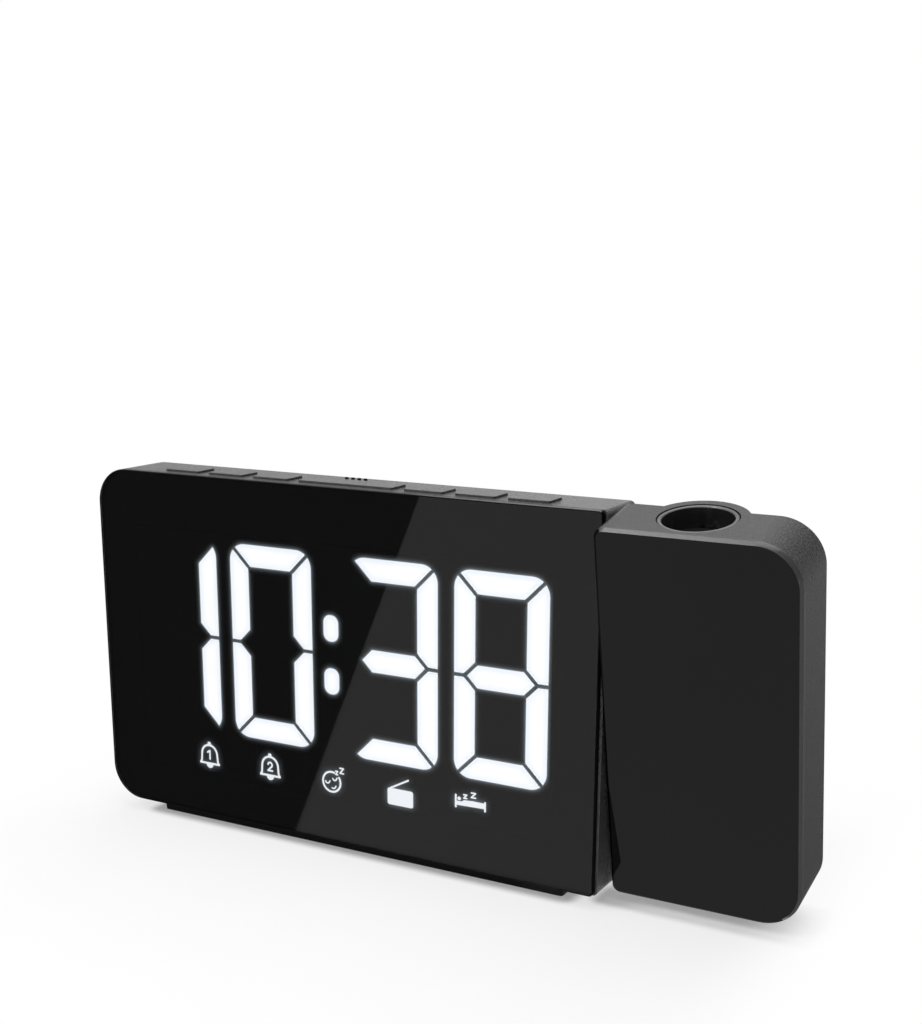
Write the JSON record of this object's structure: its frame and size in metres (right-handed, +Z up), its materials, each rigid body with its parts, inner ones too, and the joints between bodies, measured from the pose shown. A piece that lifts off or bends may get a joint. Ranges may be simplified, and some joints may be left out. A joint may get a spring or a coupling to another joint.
{
  "type": "projection alarm clock",
  "caption": "Flat desk alarm clock with a large digit display behind smoked glass-look plastic, keys along the top and a tilting projector arm with a focusing lens at one end.",
  "frame": {"origin": "on the floor, at the underside of the front foot, below the middle of the clock body and in the plane of the arm's pivot", "axes": "+X to the right along the clock towards the projector arm, +Y to the back, +Z up"},
  "size_m": [0.1881, 0.0429, 0.0948],
  "materials": {
    "smoked_panel": "polished smoked acrylic",
    "case": "fine spark-textured black",
    "arm_case": "fine spark-textured black",
    "key": "fine textured black",
    "arm_plate": "polished black",
    "focus_ring": "semi-gloss black",
    "screw_steel": "zinc plated",
    "foot_rubber": "matt black rubber",
    "mask_black": "matt black",
    "lit_white": "glowing white diffuser",
    "dark_diffuser": "smoked diffuser",
    "circuit_board": "green solder mask",
    "board_metal": "plated steel",
    "chip_black": "moulded black",
    "can_aluminium": "sleeved can",
    "magnet_grey": "sintered ferrite",
    "cone_paper": "black paper",
    "contact_brass": "spring brass",
    "cell_steel": "nickel-plated cell",
    "socket_black": "moulded black",
    "socket_steel": "folded plated steel",
    "bush_nylon": "natural nylon",
    "washer_fibre": "fibre friction washer",
    "axle_nylon": "black nylon",
    "barrel_black": "matt anti-reflection black",
    "lens_glass": "clear moulded lens",
    "slide_glass": "small LCD cell",
    "led_red": "red lens"
  },
  "bodies": {
    "clock": {"front_panel": "smoked_panel", "panel_frame": "mask_black", "main_housing": "case", "rear_cover": "case", "case_screws": "screw_steel", "front_foot": "foot_rubber", "rear_foot": "foot_rubber", "display_mask": "mask_black", "lit_segments": "lit_white", "dark_segments": "dark_diffuser", "colon_dots": "lit_white", "indicator_windows": "dark_diffuser", "display_board": "circuit_board", "board_standoffs": "board_metal", "main_board": "circuit_board", "board_screws": "screw_steel", "board_chips": "chip_black", "board_capacitors": "can_aluminium", "tact_switches": "chip_black", "button_board": "circuit_board", "button_board_screws": "screw_steel", "speaker_basket": "board_metal", "speaker_magnet": "magnet_grey", "speaker_cone": "cone_paper", "cell_contact": "contact_brass", "cell_side_contact": "contact_brass", "backup_cell": "cell_steel", "power_socket": "socket_black", "power_socket_pin": "contact_brass", "usb_socket": "socket_steel", "usb_tongue": "socket_black", "socket_board": "circuit_board", "socket_board_screws": "screw_steel", "aerial_grommet": "foot_rubber", "pivot_bush": "bush_nylon", "friction_washer": "washer_fibre"},
    "projector": {"projector_plate": "arm_plate", "projector_shell": "arm_case", "pivot_axle": "axle_nylon", "hub_screws": "screw_steel", "pivot_clip": "screw_steel", "led_board": "circuit_board", "projector_led": "led_red", "lamp_tube": "barrel_black", "condenser_lens": "lens_glass", "time_slide": "slide_glass", "slide_ring": "barrel_black"},
    "focus": {"focus_ring": "focus_ring"},
    "barrel": {"lens_barrel": "barrel_black", "projection_lens": "lens_glass", "lens_clip": "barrel_black"},
    "door": {"battery_door": "case"},
    "key_time_set": {"key_time_set": "key"},
    "key_alarm_one": {"key_alarm_one": "key"},
    "key_alarm_two": {"key_alarm_two": "key"},
    "snooze_bar": {"snooze_bar": "key"},
    "key_minus": {"key_minus": "key"},
    "key_plus": {"key_plus": "key"},
    "key_projection": {"key_projection": "key"}
  },
  "joints": [
    {"name": "projector_tilt", "type": "hinge", "parent": "clock", "child": "projector", "pos_m": [0, 0, 0.04825], "axis": [1, 0, 0], "range_deg": [-100.9, 79.1]},
    {"name": "focus_turn", "type": "hinge", "parent": "projector", "child": "focus", "pos_m": [0.09135, 0.0026, 0.04875], "axis": [0, -0.1891, 0.982], "range_deg": [-120, 120]},
    {"name": "barrel_shift", "type": "slide", "parent": "projector", "child": "barrel", "axis": [0, -0.1891, 0.982], "range_m": [-0.0012, 0.0012]},
    {"name": "door_slide", "type": "slide", "parent": "clock", "child": "door", "axis": [0, 1, 0], "range_m": [0, 0.012]},
    {"name": "key_time_set_press", "type": "slide", "parent": "clock", "child": "key_time_set", "axis": [0, 0, -1], "range_m": [0, 0.0005], "stiffness_N_per_m": 400},
    {"name": "key_alarm_one_press", "type": "slide", "parent": "clock", "child": "key_alarm_one", "axis": [0, 0, -1], "range_m": [0, 0.0005], "stiffness_N_per_m": 400},
    {"name": "key_alarm_two_press", "type": "slide", "parent": "clock", "child": "key_alarm_two", "axis": [0, 0, -1], "range_m": [0, 0.0005], "stiffness_N_per_m": 400},
    {"name": "snooze_bar_press", "type": "slide", "parent": "clock", "child": "snooze_bar", "axis": [0, 0, -1], "range_m": [0, 0.0005], "stiffness_N_per_m": 600},
    {"name": "key_minus_press", "type": "slide", "parent": "clock", "child": "key_minus", "axis": [0, 0, -1], "range_m": [0, 0.0005], "stiffness_N_per_m": 400},
    {"name": "key_plus_press", "type": "slide", "parent": "clock", "child": "key_plus", "axis": [0, 0, -1], "range_m": [0, 0.0005], "stiffness_N_per_m": 400},
    {"name": "key_projection_press", "type": "slide", "parent": "clock", "child": "key_projection", "axis": [0, 0, -1], "range_m": [0, 0.0005], "stiffness_N_per_m": 400}
  ],
  "couplings": [
    {"joint": "focus_turn", "follows": "barrel_shift", "rad_per_m": 1745.3}
  ]
}
